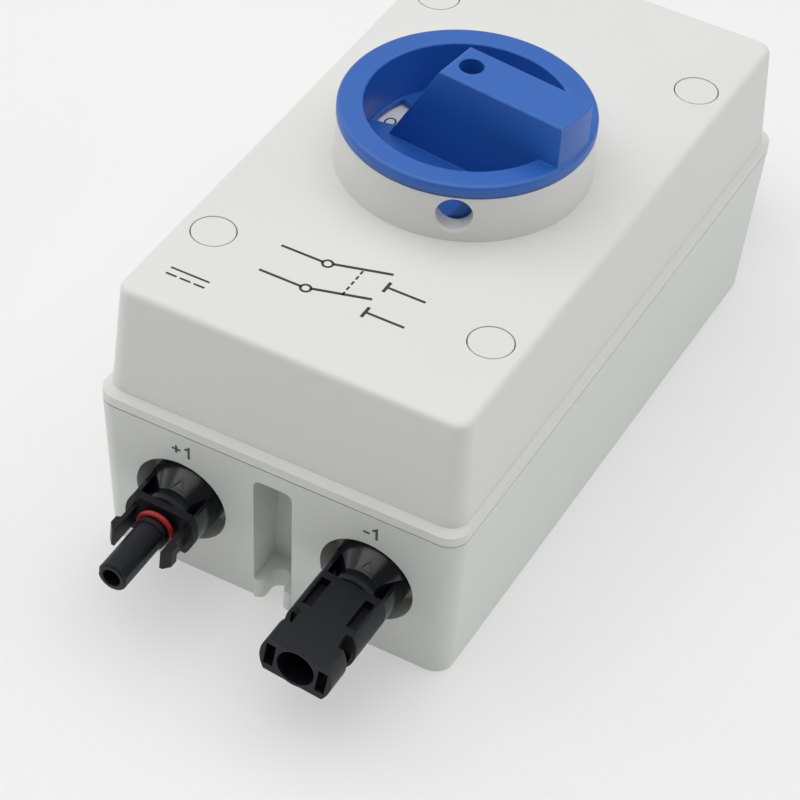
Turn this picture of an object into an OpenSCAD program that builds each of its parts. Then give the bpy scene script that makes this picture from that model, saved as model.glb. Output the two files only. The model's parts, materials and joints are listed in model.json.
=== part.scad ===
// Rotary DC isolator switch in a two-part plastic enclosure, millimetres.
// Origin: middle of the flat back face. +X across the width, +Y along the length,
// +Z away from the wall, along the axis of the handle.

/* [Housing] */
// Width across the lid's rim
body_w = 94; // [92:0.5:104]
// Length along the lid's rim
body_l = 173.6; // [172:0.2:186]
// Height of the joint between base and lid
split_z = 43.2; // [42:0.1:45]
// Height of the lid's top face
lid_top_z = 75.5; // [75:0.1:77]
// Thickness of the housing walls
wall = 3; // [2.6:0.1:3.2]
// How far each side of the base tapers in, from the joint to the back face
side_taper = 1.9; // [1.5:0.1:2.4]
// How far each end of the base tapers in, from the joint to the back face
end_taper = 2.8; // [2:0.1:3]
// How far the lid's rim stands out from the lid's sides
side_rim_w = 1.3; // [1:0.1:2]
// How far the lid's rim stands out from the lid's ends
end_rim_w = 2.4; // [2:0.1:3]
// Height of the rim's upright band
rim_h = 2.4; // [2:0.1:3]
// Rounding of the lid's top edge
lid_edge_r = 1.7; // [1.2:0.1:3]

/* [Connectors] */
// Distance of the connectors from the middle plane
connector_x = 24.4; // [23.5:0.1:25.5]
// Height of the connector axes above the back face
connector_z = 22; // [21.5:0.1:23]
// Radius of the round recess around a connector
recess_r = 11.95; // [11.4:0.05:12.2]
// Distance of the recess floor from the middle of the housing
recess_floor = 77; // [76.5:0.1:78]
// Roll of the plus connectors about their own axes, in degrees
plus_roll = -3; // [-10:1:10]
// Roll of the minus connectors about their own axes, in degrees
minus_roll = -7; // [-10:1:10]

/* [Wall fixing] */
// Width of the slots in the wall feet
slot_w = 4.8; // [4.2:0.1:5.2]
// Thickness of the wall feet
foot_t = 5.5; // [4.5:0.1:6.5]
// Width of the upright channels above the feet
channel_w = 10; // [9:0.5:11]

/* [Handle] */
// How far the handle stands past its OFF stop, in degrees
rest_turn = 7; // [0:1:20]
// Radius of the handle's outer ring
ring_r = 30.5; // [29.5:0.1:31]
// Inner radius of the handle's outer ring
ring_inner_r = 24.3; // [24.2:0.1:24.7]
// Height of the top of the ring
ring_top_z = 91.1; // [90.5:0.1:92]
// Thickness of the ring
ring_t = 3.2; // [2.8:0.1:3.4]
// Height of the top of the grip
grip_top_z = 102.3; // [98:0.1:105]
// Width of the grip
grip_w = 12.7; // [11:0.1:13]
// Radius of the padlock hole
padlock_r = 4.3; // [3.5:0.1:4.4]

/* [Switch] */
// Side of the square switch stack
deck_w = 60; // [60:1:61]
// Height of one contact deck
deck_h = 10.5; // [10.5:0.1:10.6]
// Side of the square drive shaft
shaft_w = 6; // [5.6:0.1:6]

/* [Hidden] */
$fn = 64;

// Colours
pale_grey = [0.86, 0.86, 0.85];
cool_grey = [0.72, 0.74, 0.74];
off_white = [0.93, 0.93, 0.91];
handle_blue = [0.16, 0.35, 0.68];
black = [0.11, 0.11, 0.12];
dark_grey = [0.3, 0.31, 0.33];
deck_grey = [0.22, 0.22, 0.24];
sheath_red = [0.6, 0.1, 0.1];
steel = [0.72, 0.73, 0.75];
zinc = [0.6, 0.61, 0.63];
copper = [0.78, 0.46, 0.3];
brass = [0.8, 0.68, 0.36];
seal_red = [0.66, 0.12, 0.14];

// Small amounts
eps = 0.01;
slab = 0.02;
over = 1;
run_gap = 0.06;
loose_gap = 0.1;
// Gap between parts that meet end to end, and clearance in a close fit
fit_gap = 0.02;

// Housing
half_w = body_w / 2;
half_l = body_l / 2;
rim_slope = 0.8;
joint_gap = 0.3;
lid_draft = 1.45;
rim_top_z = split_z + joint_gap + rim_h;
junction_z = rim_top_z + rim_slope;
corner_r = 5;
base_corner_r = 4.6;
lid_corner_r = 4.7;
junction_corner_r = 4.6;
edge_corner_share = 0.45;
floor_t = 3;
lid_under_z = lid_top_z - wall;
tube_wall = 2.4;
recess_floor_t = 2.4;
tube_end = 83.7;
stub_r = 6;
stub_hole_r = 6.15;
channel_back = 74.5;
channel_top_z = 38.9;
channel_corner_r = 2;
slot_end = 80.6;
foot_mouth_r = 1.9;
foot_corner_r = 0.7;
foot_front = half_l - end_taper + 0.6;

// Lid fasteners
pillar_x = 35.5;
pillar_y = 54.5;
base_pillar_r = 5.5;
lid_pillar_r = 7.4;
cap_r = 5.2;
cap_pocket_r = 5.5;
cap_t = 3.2;
cap_skin_t = 1.2;
lid_screw_r = 2;
lid_screw_hole_r = 2.25;
lid_screw_head_r = 3.8;
lid_screw_head_h = 2.8;
screw_seat_z = 49;
screw_tip_z = 24;
head_bore_r = 4.3;

// Gasket
gasket_inset = 1.3;
gasket_w = 1.6;
gasket_h = 1.9;

// Collar and handle
collar_top_z = ring_top_z - ring_t - 0.3;
collar_r_low = 30.7;
collar_r_high = 30.2;
collar_inner_r = 26.1;
skirt_r = 25.7;
handle_floor_z = 76.8;
handle_floor_t = 1.4;
bowl_floor_r = 23.8;
hub_r = 8;
hub_bottom_z = 69;
lid_boss_z = 68.5;
lid_boss_r = 12;
seal_groove_z = 72;
seal_section_r = 0.8;
seal_r = 7.22;
ring_edge_r = 1.1;
grip_edge = 0.35;
grip_end_r = 29.8;
grip_foot_r = 24.9;
grip_slope_top = -4.3;
grip_slope_foot = -17.2;
grip_hole_r = 3;
grip_seat_z = 92;
washer_t = 0.8;
handle_screw_r = 1.95;
handle_screw_l = 15.6;
handle_screw_hole_r = 2.1;
socket_top_z = 85.2;
window_in = 17.6;
window_out = 23.4;
window_near = [-2.6, -6];
window_far = [6, 6.9];
padlock_z = 82.7;
padlock_turn = -67.3;
padlock_edge = 0.5;
dial_r = 25.8;
dial_t = 0.8;

// Switch stack
plate_z = 6;
plate_t = 3;
plate_half_l = 38;
plate_screw_x = 22;
plate_screw_y = 34;
plate_screw_r = 1.75;
plate_boss_r = 4.5;
plate_hole_z = 1.2;
plate_screw_l = 7.2;
m35_head_r = 3.2;
m35_head_h = 2.2;
plate_corner_r = 4;
deck_z = plate_z + plate_t;
deck_floor_t = 1.5;
deck_corner_r = 3;
contact_dz = 5.9;
contact_t = 1.5;
rotor_cavity_r = 18;
spigot_r = 8;
rotor_r = 11.2;
rotor_end_gap = 0.15;
blade_gap = 0.85;
blade_t = 1;
blade_r = 15.5;
blade_half_w = 5;
tip_y = 11.5;
strip_half_w = 3;
strip_y1 = 22;
strip_y2 = 27;
block_x1 = 13;
block_x2 = 22;
block_y1 = 21.5;
block_y2 = 29.5;
block_dz1 = 1.9;
block_dz2 = 9.9;
terminal_x = 17;
terminal_y = (block_y1 + block_y2) / 2;
wire_bore_r = 1.6;
ferrule_r = 1.5;
ferrule_l = 7;
link_half_w = 2.6;
link_t = 1.5;
terminal_screw_r = 1.5;
terminal_access_r = 2.6;
tie_x = 26.5;
tie_y = 9;
tie_r = 1.75;
tie_hole_r = 1.95;
case_z = deck_z + 4 * deck_h;
case_h = 12;
cover_z = case_z + case_h;
cover_t = 3;
case_cavity_r = 21;
cam_z = case_z + 8;
cam_t = 2.4;
cam_r = 13;
cam_arm_l = 18;
cam_arm_w = 7;
stop_inner_r = 14;
stop_edge = 4.2;
stop_over = 0.4;
snap_rotor_z = case_z + deck_floor_t + 0.2;
snap_rotor_t = 1.9;
snap_rotor_r = 12;
snap_arm_l = 17;
snap_arm_w = 6;
journal_r = 5;
shaft_bottom_z = case_z + 5;
shaft_top_z = 84.4;
shaft_hole_r = 2;
shaft_hole_l = 10;

// Wires and contacts
wire_r = 2.7;
wire_bend_r = 2.73;
wire_mid = 1.5;
wire_lead_in = 2;
wire_start = 61;
wire_end_y = deck_w / 2 + 0.4;
side_run_x = 37;

// Connector bodies, lengths from the middle of the housing
stub_end = 66;
flange_r = 9.35;
flange_z = recess_floor + 1;
flange_front = 84;
cone_front = 89;
neck_r = 5.8;
lip_r = 6.2;
lip_l = 1.7;
body_back = 93;
body_r = 9.1;
web_inner_x = 7;
web_half_h = 4.3;
contact_r = 2;
tube_bore_r = 2.3;

// Tube connector
block_half_h = 5.5;
block_front = 95;
tube_neck_r = 3.5;
tube_r = 3.75;
tube_half_w = 3.52;
tube_lip_back = 98;
tube_lip_t = 1.3;
tube_lip_r = 4.2;
tube_front = 115.3;
tube_edge = 0.4;
arm_half_h = 2.6;
arm_inner_x = 6;
arm_outer_x = 7.2;
arm_barb_x = 8.2;
arm_tip = 104.5;

// Barrel connector
barrel_front = 117.5;
barrel_half_h = 5.2;
barrel_core_r = 5.5;
barrel_bore_r = 4.7;
barrel_bore_back = 102.2;
barrel_well_r = 4.4;
barrel_well_back = 97;
latch_slot_x = 6.6;
latch_slot_w = 2.4;
latch_slot_half_h = 3.3;
latch_slot_back = 105;
notch_x = 5.7;
notch_back = 106.4;
notch_front = 110.7;
top_window_x = 5.65;
top_window_w = 2.4;
top_window_low = 2.7;
top_window_back = 95.1;
top_window_front = 104.3;

// Contacts and seals of the connectors
socket_tip = 112;
socket_bore_r = 1.4;
socket_bore_back = 96;
pin_back = 95;
pin_r = 1.35;
pin_l = 7;
nut_r = 9.6;
nut_h = 3.6;
seal_ring_r = 4.25;
seal_ring_section_r = 0.7;

// ---------------------------------------------------------------- shared shapes

// Rounded rectangle about the origin, half sizes hx and hy
module rounded_rect(hx, hy, r) {
    square([2 * (hx - r), 2 * hy], center = true);
    square([2 * hx, 2 * (hy - r)], center = true);
    for (sx = [-1, 1], sy = [-1, 1])
        translate([sx * (hx - r), sy * (hy - r)])
            circle(r);
}

// Thin rounded slab at height z
module rim_slab(hx, hy, r, z) {
    translate([0, 0, z])
        linear_extrude(slab)
            rounded_rect(hx, hy, r);
}

// Block that tapers from one rounded rectangle to another
module tapered_block(hx0, hy0, r0, z0, hx1, hy1, r1, z1) {
    hull() {
        rim_slab(hx0, hy0, r0, z0);
        rim_slab(hx1, hy1, r1, z1 - slab);
    }
}

// Solid ring of rectangular section
module ring(r_out, r_in, h) {
    difference() {
        cylinder(r = r_out, h = h);
        translate([0, 0, -over])
            cylinder(r = r_in, h = h + 2 * over);
    }
}

// O-ring lying in the XY plane
module o_ring(r, section_r) {
    rotate_extrude()
        translate([r, 0])
            circle(section_r);
}

// Pan-head screw, shank down from z = 0, head on top, with a cross recess
module pan_screw(r, length, head_r, head_h) {
    difference() {
        union() {
            translate([0, 0, -length])
                cylinder(r = r, h = length);
            cylinder(r = head_r, h = head_h * 0.55);
            translate([0, 0, head_h * 0.55])
                cylinder(r1 = head_r, r2 = head_r * 0.72, h = head_h * 0.45);
        }
        for (turn = [0, 90])
            rotate([0, 0, turn])
                translate([-head_r * 0.6, -head_r * 0.13, head_h * 0.35])
                    cube([head_r * 1.2, head_r * 0.26, head_h]);
    }
}

// Copies at the four lid fastening points
module at_pillars() {
    for (sx = [-1, 1], sy = [-1, 1])
        translate([sx * pillar_x, sy * pillar_y, 0])
            children();
}

// Frame of one connector: local +Z points out of the housing's end,
// local +Y points up; side is -1 for plus and +1 for minus, end is -1 for the front
module at_connector(side, end) {
    mirror([0, end > 0 ? 1 : 0, 0])
        translate([side * connector_x, 0, connector_z])
            rotate([90, 0, 0])
                rotate([0, 0, side < 0 ? plus_roll : minus_roll])
                    children();
}

module at_all_connectors() {
    for (side = [-1, 1], end = [-1, 1])
        at_connector(side, end)
            children();
}

// Height of the bottom of deck number n, from 1
function deck_bottom(n) = deck_z + (n - 1) * deck_h;
// Decks 1 and 2 carry the plus pole (left), decks 3 and 4 the minus pole (right)
function deck_side(n) = n < 3 ? -1 : 1;
function contact_z(n) = deck_bottom(n) + contact_dz;

// Frame of deck n with its terminals turned to +X
module at_deck(n) {
    translate([0, 0, deck_bottom(n)])
        mirror([deck_side(n) < 0 ? 1 : 0, 0, 0])
            children();
}

// Everything that turns with the handle is drawn past the OFF stop by rest_turn
module at_rest_turn() {
    rotate([0, 0, -rest_turn])
        children();
}

// ---------------------------------------------------------------- housing

module base_outer() {
    tapered_block(half_w - side_taper, half_l - end_taper, base_corner_r, 0,
        half_w, half_l, corner_r, split_z);
}

module base_cavity() {
    hw = half_w - wall;
    hl = half_l - wall;
    tapered_block(hw - side_taper, hl - end_taper, base_corner_r - wall, floor_t,
        hw, hl, corner_r - wall, split_z + over);
}

// Upright channel above a wall foot, in the front end's XZ plane
module channel_profile() {
    h = channel_top_z - foot_t;
    translate([-channel_w / 2, foot_t])
        square([channel_w, h - channel_corner_r]);
    translate([-channel_w / 2 + channel_corner_r, foot_t])
        square([channel_w - 2 * channel_corner_r, h]);
    for (side = [-1, 1])
        translate([side * (channel_w / 2 - channel_corner_r), channel_top_z - channel_corner_r])
            circle(channel_corner_r);
}

// Open slot of a wall foot with a rounded mouth, toward -Y
module foot_slot() {
    mouth_x = slot_w / 2 + foot_mouth_r;
    mouth_y = -foot_front + foot_mouth_r;
    translate([0, -slot_end])
        circle(slot_w / 2);
    translate([-slot_w / 2, -half_l])
        square([slot_w, half_l - slot_end]);
    difference() {
        translate([-mouth_x, -half_l])
            square([2 * mouth_x, half_l + mouth_y]);
        for (side = [-1, 1])
            translate([side * mouth_x, mouth_y])
                circle(foot_mouth_r);
    }
}

// Outline of a wall foot, standing a little proud of the base's lower edge
module foot_outline() {
    back_y = channel_back - 1;
    translate([0, -(foot_front + back_y) / 2])
        rounded_rect(channel_w / 2 + eps, (foot_front - back_y) / 2, foot_corner_r);
}

// Material added to the base at the front end
module base_end_solids() {
    for (side = [-1, 1])
        translate([side * connector_x, -recess_floor + recess_floor_t, connector_z])
            rotate([90, 0, 0])
                cylinder(r = recess_r + tube_wall, h = tube_end - recess_floor + recess_floor_t);
    translate([-channel_w / 2 - tube_wall, -tube_end, eps])
        cube([channel_w + 2 * tube_wall, tube_end - channel_back + tube_wall,
            channel_top_z + tube_wall]);
    translate([0, 0, eps])
        linear_extrude(foot_t - eps)
            foot_outline();
}

// Material cut away at the front end
module base_end_cuts() {
    for (side = [-1, 1])
        translate([side * connector_x, 0, connector_z])
            rotate([90, 0, 0]) {
                translate([0, 0, recess_floor])
                    cylinder(r = recess_r, h = half_l);
                cylinder(r = stub_hole_r, h = half_l);
            }
    translate([0, -channel_back, 0])
        rotate([90, 0, 0])
            linear_extrude(half_l)
                channel_profile();
    translate([0, 0, -over])
        linear_extrude(foot_t + 2 * over)
            foot_slot();
}

module base_housing() {
    color(cool_grey)
        difference() {
            union() {
                difference() {
                    base_outer();
                    base_cavity();
                }
                for (end = [0, 1])
                    mirror([0, end, 0])
                        base_end_solids();
                at_pillars()
                    translate([0, 0, eps])
                        cylinder(r = base_pillar_r, h = split_z - eps);
                for (sx = [-1, 1], sy = [-1, 1])
                    translate([sx * plate_screw_x, sy * plate_screw_y, eps])
                        cylinder(r = plate_boss_r, h = plate_z - eps);
            }
            for (end = [0, 1])
                mirror([0, end, 0])
                    base_end_cuts();
            at_pillars()
                translate([0, 0, screw_tip_z - 2])
                    cylinder(r = lid_screw_r + fit_gap, h = split_z);
            for (sx = [-1, 1], sy = [-1, 1])
                translate([sx * plate_screw_x, sy * plate_screw_y, plate_hole_z])
                    cylinder(r = plate_screw_r + fit_gap, h = plate_z);
        }
}

// Outside of the lid: rim band, sloping rim top and the drafted, round-edged body
module lid_outer() {
    body_hw = half_w - side_rim_w;
    body_hl = half_l - end_rim_w;
    translate([0, 0, split_z + joint_gap])
        linear_extrude(rim_h)
            rounded_rect(half_w, half_l, corner_r);
    tapered_block(half_w, half_l, corner_r, rim_top_z - slab,
        body_hw, body_hl, junction_corner_r, junction_z);
    hull() {
        rim_slab(body_hw, body_hl, lid_corner_r, rim_top_z);
        for (a = [0 : 15 : 90])
            let (inset = lid_draft + lid_edge_r * (1 - cos(a)))
                rim_slab(body_hw - inset, body_hl - inset, lid_corner_r - inset * edge_corner_share,
                    lid_top_z - lid_edge_r + lid_edge_r * sin(a) - slab);
    }
}

module lid_cavity() {
    hw = half_w - side_rim_w - wall;
    hl = half_l - end_rim_w - wall;
    tapered_block(hw, hl, lid_corner_r - wall, split_z - over,
        hw - lid_draft, hl - lid_draft, lid_corner_r - wall, lid_under_z);
}

module gasket_band(w, h) {
    linear_extrude(h)
        difference() {
            rounded_rect(half_w - gasket_inset, half_l - gasket_inset, corner_r - gasket_inset);
            rounded_rect(half_w - gasket_inset - w, half_l - gasket_inset - w,
                corner_r - gasket_inset - w);
        }
}

// Padlock hole with its chamfered mouth, along the radius at padlock_turn
module padlock_cut(r_outer) {
    rotate([0, 0, padlock_turn])
        translate([0, 0, padlock_z])
            rotate([0, 90, 0]) {
                translate([0, 0, ring_inner_r - 4])
                    cylinder(r = padlock_r, h = ring_r - ring_inner_r + 8);
                translate([0, 0, r_outer - padlock_edge])
                    cylinder(r1 = padlock_r, r2 = padlock_r + 2 * padlock_edge,
                        h = 2 * padlock_edge);
            }
}

module lid_housing() {
    collar_r = (collar_r_low + collar_r_high) / 2;
    color(pale_grey)
        difference() {
            union() {
                difference() {
                    lid_outer();
                    lid_cavity();
                }
                translate([0, 0, lid_top_z - eps])
                    cylinder(r1 = collar_r_low, r2 = collar_r_high,
                        h = collar_top_z - lid_top_z + eps);
                translate([0, 0, lid_boss_z])
                    cylinder(r = lid_boss_r, h = wall + lid_under_z - lid_boss_z);
                at_pillars()
                    translate([0, 0, split_z + joint_gap])
                        cylinder(r = lid_pillar_r, h = lid_under_z - split_z);
            }
            translate([0, 0, lid_top_z])
                cylinder(r = collar_inner_r, h = collar_top_z);
            translate([0, 0, lid_boss_z - over])
                cylinder(r = hub_r + run_gap, h = wall + lid_top_z - lid_boss_z);
            padlock_cut(collar_r);
            translate([0, 0, split_z])
                gasket_band(gasket_w, joint_gap + gasket_h);
            at_pillars() {
                translate([0, 0, split_z - over])
                    cylinder(r = lid_screw_hole_r, h = lid_top_z);
                translate([0, 0, screw_seat_z])
                    cylinder(r = head_bore_r, h = lid_top_z);
                translate([0, 0, lid_top_z - cap_t])
                    cylinder(r = cap_pocket_r, h = cap_t + over);
            }
        }
}

module lid_gasket() {
    color(dark_grey)
        translate([0, 0, split_z])
            gasket_band(gasket_w, joint_gap + gasket_h);
}

module lid_screws() {
    color(steel)
        at_pillars()
            translate([0, 0, screw_seat_z])
                pan_screw(lid_screw_r, screw_seat_z - screw_tip_z, lid_screw_head_r, lid_screw_head_h);
}

// Round push-in caps with a hollow spigot that fits the screw bore
module screw_caps() {
    spigot_h = 2.6;
    spigot_wall = 1.2;
    sink = 0.05;
    color(pale_grey)
        at_pillars()
            translate([0, 0, lid_top_z - cap_t])
                difference() {
                    union() {
                        cylinder(r = cap_r, h = cap_t - sink);
                        translate([0, 0, -spigot_h])
                            cylinder(r = head_bore_r - sink, h = spigot_h + eps);
                    }
                    translate([0, 0, -spigot_h - over])
                        cylinder(r = head_bore_r - spigot_wall,
                            h = spigot_h + over + cap_t - cap_skin_t);
                }
}

module dial_plate() {
    color(off_white)
        translate([0, 0, lid_top_z])
            ring(dial_r, hub_r + 1, dial_t);
}

// ---------------------------------------------------------------- handle

// Half section of the handle's bowl and ring, revolved about the handle axis
module handle_bowl() {
    under_z = ring_top_z - ring_t;
    rotate_extrude() {
        polygon([
            [0, handle_floor_z], [skirt_r, handle_floor_z], [skirt_r, under_z],
            [ring_r - 0.4, under_z], [ring_r, under_z + 0.4],
            [ring_r, ring_top_z - ring_edge_r], [ring_r - ring_edge_r, ring_top_z - ring_edge_r],
            [ring_r - ring_edge_r, ring_top_z], [ring_inner_r + 0.3, ring_top_z],
            [ring_inner_r, ring_top_z - 0.3],
            [bowl_floor_r, handle_floor_z + handle_floor_t], [0, handle_floor_z + handle_floor_t]
        ]);
        intersection() {
            translate([ring_r - ring_edge_r, ring_top_z - ring_edge_r])
                circle(ring_edge_r);
            translate([ring_r - ring_edge_r, ring_top_z - ring_edge_r])
                square(ring_edge_r);
        }
    }
}

// Room for the grip: the inside of the bowl, and the whole ring above the bowl's wall
module grip_room(low_z) {
    step_z = ring_top_z - ring_t / 2;
    translate([0, 0, low_z])
        cylinder(r = grip_foot_r, h = step_z - low_z + eps);
    translate([0, 0, step_z])
        cylinder(r = grip_end_r, h = grip_top_z - step_z - grip_edge);
    translate([0, 0, grip_top_z - grip_edge - eps])
        cylinder(r1 = grip_end_r, r2 = grip_end_r - grip_edge, h = grip_edge + 2 * eps);
}

// Grip bar: side profile with the sloping left end, trimmed to the round end face
module grip() {
    half = grip_w / 2;
    low_z = handle_floor_z + handle_floor_t - eps;
    intersection() {
        rotate([90, 0, 0])
            translate([0, 0, -half])
                linear_extrude(grip_w)
                    polygon([
                        [grip_slope_foot, low_z],
                        [grip_slope_top - grip_edge, grip_top_z - grip_edge],
                        [grip_slope_top + grip_edge, grip_top_z],
                        [ring_r, grip_top_z], [ring_r, low_z]
                    ]);
        grip_room(low_z - eps);
        rotate([90, 0, 90])
            translate([0, 0, -ring_r])
                linear_extrude(2 * ring_r)
                    polygon([
                        [-half, low_z], [half, low_z],
                        [half, grip_top_z - grip_edge], [half - grip_edge, grip_top_z],
                        [grip_edge - half, grip_top_z], [-half, grip_top_z - grip_edge]
                    ]);
    }
}

// Opening in the bowl's floor beside the grip's foot, seen from above
module window_outline() {
    intersection() {
        circle(window_out);
        polygon([
            [-window_in, window_near[0]], [-ring_r, window_near[1] - 1],
            [-ring_r, window_far[1] + 1], [-window_in, window_far[0]]
        ]);
    }
}

module handle() {
    color(handle_blue)
        at_rest_turn()
            difference() {
                union() {
                    handle_bowl();
                    grip();
                    translate([0, 0, hub_bottom_z])
                        cylinder(r = hub_r, h = handle_floor_z - hub_bottom_z + eps);
                }
                // bore for the fixing screw and its seat
                translate([0, 0, grip_seat_z])
                    cylinder(r = grip_hole_r, h = grip_top_z);
                translate([0, 0, hub_bottom_z])
                    cylinder(r = handle_screw_hole_r, h = grip_top_z);
                // square socket for the shaft
                translate([-shaft_w / 2 - loose_gap / 2, -shaft_w / 2 - loose_gap / 2,
                        hub_bottom_z - over])
                    cube([shaft_w + loose_gap, shaft_w + loose_gap,
                        socket_top_z - hub_bottom_z + over]);
                // groove for the shaft seal
                translate([0, 0, seal_groove_z - seal_section_r - loose_gap])
                    ring(hub_r + over, seal_r - seal_section_r - fit_gap,
                        2 * seal_section_r + 2 * loose_gap);
                // window over the dial plate
                translate([0, 0, handle_floor_z - over])
                    linear_extrude(handle_floor_t + 2 * over)
                        window_outline();
                // padlock hole, in line with the collar's when the handle is at OFF
                padlock_cut(skirt_r + over);
            }
}

module handle_screw() {
    color(steel)
        at_rest_turn()
            translate([0, 0, grip_seat_z + washer_t])
                pan_screw(handle_screw_r, handle_screw_l, grip_hole_r - 0.2, 2.4);
}

module handle_washer() {
    color(steel)
        at_rest_turn()
            translate([0, 0, grip_seat_z])
                ring(grip_hole_r - 0.1, handle_screw_hole_r, washer_t);
}

module handle_seal_ring() {
    color(black)
        translate([0, 0, seal_groove_z])
            o_ring(seal_r, seal_section_r);
}

// Square shaft with a round journal that turns in the mechanism cover
module drive_shaft() {
    color(zinc)
        at_rest_turn()
            difference() {
                union() {
                    translate([-shaft_w / 2, -shaft_w / 2, shaft_bottom_z])
                        cube([shaft_w, shaft_w, shaft_top_z - shaft_bottom_z]);
                    translate([0, 0, cam_z + cam_t])
                        cylinder(r = journal_r, h = cover_z + cover_t + 1 - cam_z - cam_t);
                }
                translate([0, 0, shaft_top_z - shaft_hole_l])
                    cylinder(r = shaft_hole_r, h = shaft_hole_l + over);
            }
}

// Cam with the stop lug that limits the turn to a quarter
module drive_cam() {
    color(dark_grey)
        at_rest_turn()
            translate([0, 0, cam_z])
                difference() {
                    union() {
                        cylinder(r = cam_r, h = cam_t);
                        for (turn = [0, 180])
                            rotate([0, 0, turn])
                                translate([0, -cam_arm_w / 2, 0])
                                    cube([cam_arm_l, cam_arm_w, cam_t]);
                    }
                    translate([-shaft_w / 2 - eps, -shaft_w / 2 - eps, -over])
                        cube([shaft_w + 2 * eps, shaft_w + 2 * eps, cam_t + 2 * over]);
                }
}

// Section of a flat coil in a plane across its axis: a crescent that follows the coil
module coil_crescent(r, half_t, half_angle) {
    steps = 5;
    outer = [for (i = [-steps : steps])
        let (a = i / steps * half_angle, t = half_t * sqrt(1 - pow(i / steps, 2)))
            (r + t) * [cos(a), sin(a)]];
    inner = [for (i = [steps - 1 : -1 : 1 - steps])
        let (a = i / steps * half_angle, t = half_t * sqrt(1 - pow(i / steps, 2)))
            (r - t) * [cos(a), sin(a)]];
    polygon(concat(outer, inner));
}

// Torsion spring that stores the handle's turn for the snap action
module snap_spring() {
    coil_r = 9;
    turns = 2.5;
    end_gap = 0.2;
    coil_h = cam_z - snap_rotor_z - snap_rotor_t - 2 * end_gap;
    color(steel)
        at_rest_turn()
            translate([0, 0, snap_rotor_z + snap_rotor_t + end_gap])
                linear_extrude(coil_h, twist = -360 * turns, slices = 44)
                    coil_crescent(coil_r, 0.6, 100);
}

// ---------------------------------------------------------------- rotor

module spindle_hole(h) {
    translate([-shaft_w / 2 - eps, -shaft_w / 2 - eps, -over])
        cube([shaft_w + 2 * eps, shaft_w + 2 * eps, h + 2 * over]);
}

module snap_rotor() {
    color(black)
        at_rest_turn()
            translate([0, 0, snap_rotor_z])
                difference() {
                    union() {
                        cylinder(r = snap_rotor_r, h = snap_rotor_t);
                        translate([-snap_arm_w / 2, -snap_arm_l, 0])
                            cube([snap_arm_w, 2 * snap_arm_l, snap_rotor_t]);
                        translate([0, 0, case_z - snap_rotor_z + eps])
                            cylinder(r = spigot_r, h = snap_rotor_z - case_z);
                    }
                    translate([0, 0, case_z - snap_rotor_z])
                        spindle_hole(snap_rotor_z - case_z + snap_rotor_t);
                }
}

module rotor_spindle() {
    color(zinc)
        at_rest_turn()
            translate([-shaft_w / 2, -shaft_w / 2, deck_z + 0.2])
                cube([shaft_w, shaft_w, snap_rotor_z + snap_rotor_t - deck_z - 0.2]);
}

// Blades of one deck, above and below the fixed contacts
module blade_pair(gap) {
    for (z = [contact_dz - blade_gap - blade_t, contact_dz + blade_gap])
        translate([0, 0, z - gap])
            linear_extrude(blade_t + 2 * gap)
                intersection() {
                    circle(blade_r + gap);
                    square([2 * blade_r + over, 2 * (blade_half_w + gap)], center = true);
                }
}

module rotor_segment(n) {
    color(black)
        at_rest_turn()
            translate([0, 0, deck_bottom(n)])
                difference() {
                    union() {
                        translate([0, 0, fit_gap])
                            cylinder(r = spigot_r, h = deck_h - 2 * fit_gap);
                        translate([0, 0, deck_floor_t + rotor_end_gap])
                            cylinder(r = rotor_r, h = deck_h - deck_floor_t - 2 * rotor_end_gap);
                    }
                    spindle_hole(deck_h);
                    blade_pair(fit_gap);
                }
}

module moving_contact(n) {
    color(copper)
        at_rest_turn()
            translate([0, 0, deck_bottom(n)])
                difference() {
                    blade_pair(0);
                    spindle_hole(deck_h);
                }
}

module rotor_segment_1() { rotor_segment(1); }
module rotor_segment_2() { rotor_segment(2); }
module rotor_segment_3() { rotor_segment(3); }
module rotor_segment_4() { rotor_segment(4); }
module moving_contact_1() { moving_contact(1); }
module moving_contact_2() { moving_contact(2); }
module moving_contact_3() { moving_contact(3); }
module moving_contact_4() { moving_contact(4); }

// ---------------------------------------------------------------- switch stack

module at_tie_bolts() {
    for (sx = [-1, 1], sy = [-1, 1])
        translate([sx * tie_x, sy * tie_y, 0])
            children();
}

module switch_plate() {
    color(zinc)
        translate([0, 0, plate_z])
            difference() {
                linear_extrude(plate_t)
                    rounded_rect(deck_w / 2, plate_half_l, plate_corner_r);
                for (sx = [-1, 1], sy = [-1, 1])
                    translate([sx * plate_screw_x, sy * plate_screw_y, -over])
                        cylinder(r = tie_hole_r, h = plate_t + 2 * over);
                translate([0, 0, -over])
                    at_tie_bolts()
                        cylinder(r = tie_r + fit_gap, h = plate_t + 2 * over);
            }
}

module switch_plate_screws() {
    color(steel)
        for (sx = [-1, 1], sy = [-1, 1])
            translate([sx * plate_screw_x, sy * plate_screw_y, plate_z + plate_t])
                pan_screw(plate_screw_r, plate_screw_l, m35_head_r, m35_head_h);
}

// Outline of one fixed contact toward +Y, grown by gap for its pocket
module strip_outline(gap) {
    polygon([
        [-strip_half_w - gap, tip_y - gap], [strip_half_w + gap, tip_y - gap],
        [strip_half_w + gap, strip_y1 - gap], [block_x1, strip_y1 - gap],
        [block_x1, strip_y2 + gap], [-strip_half_w - gap, strip_y2 + gap]
    ]);
}

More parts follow.
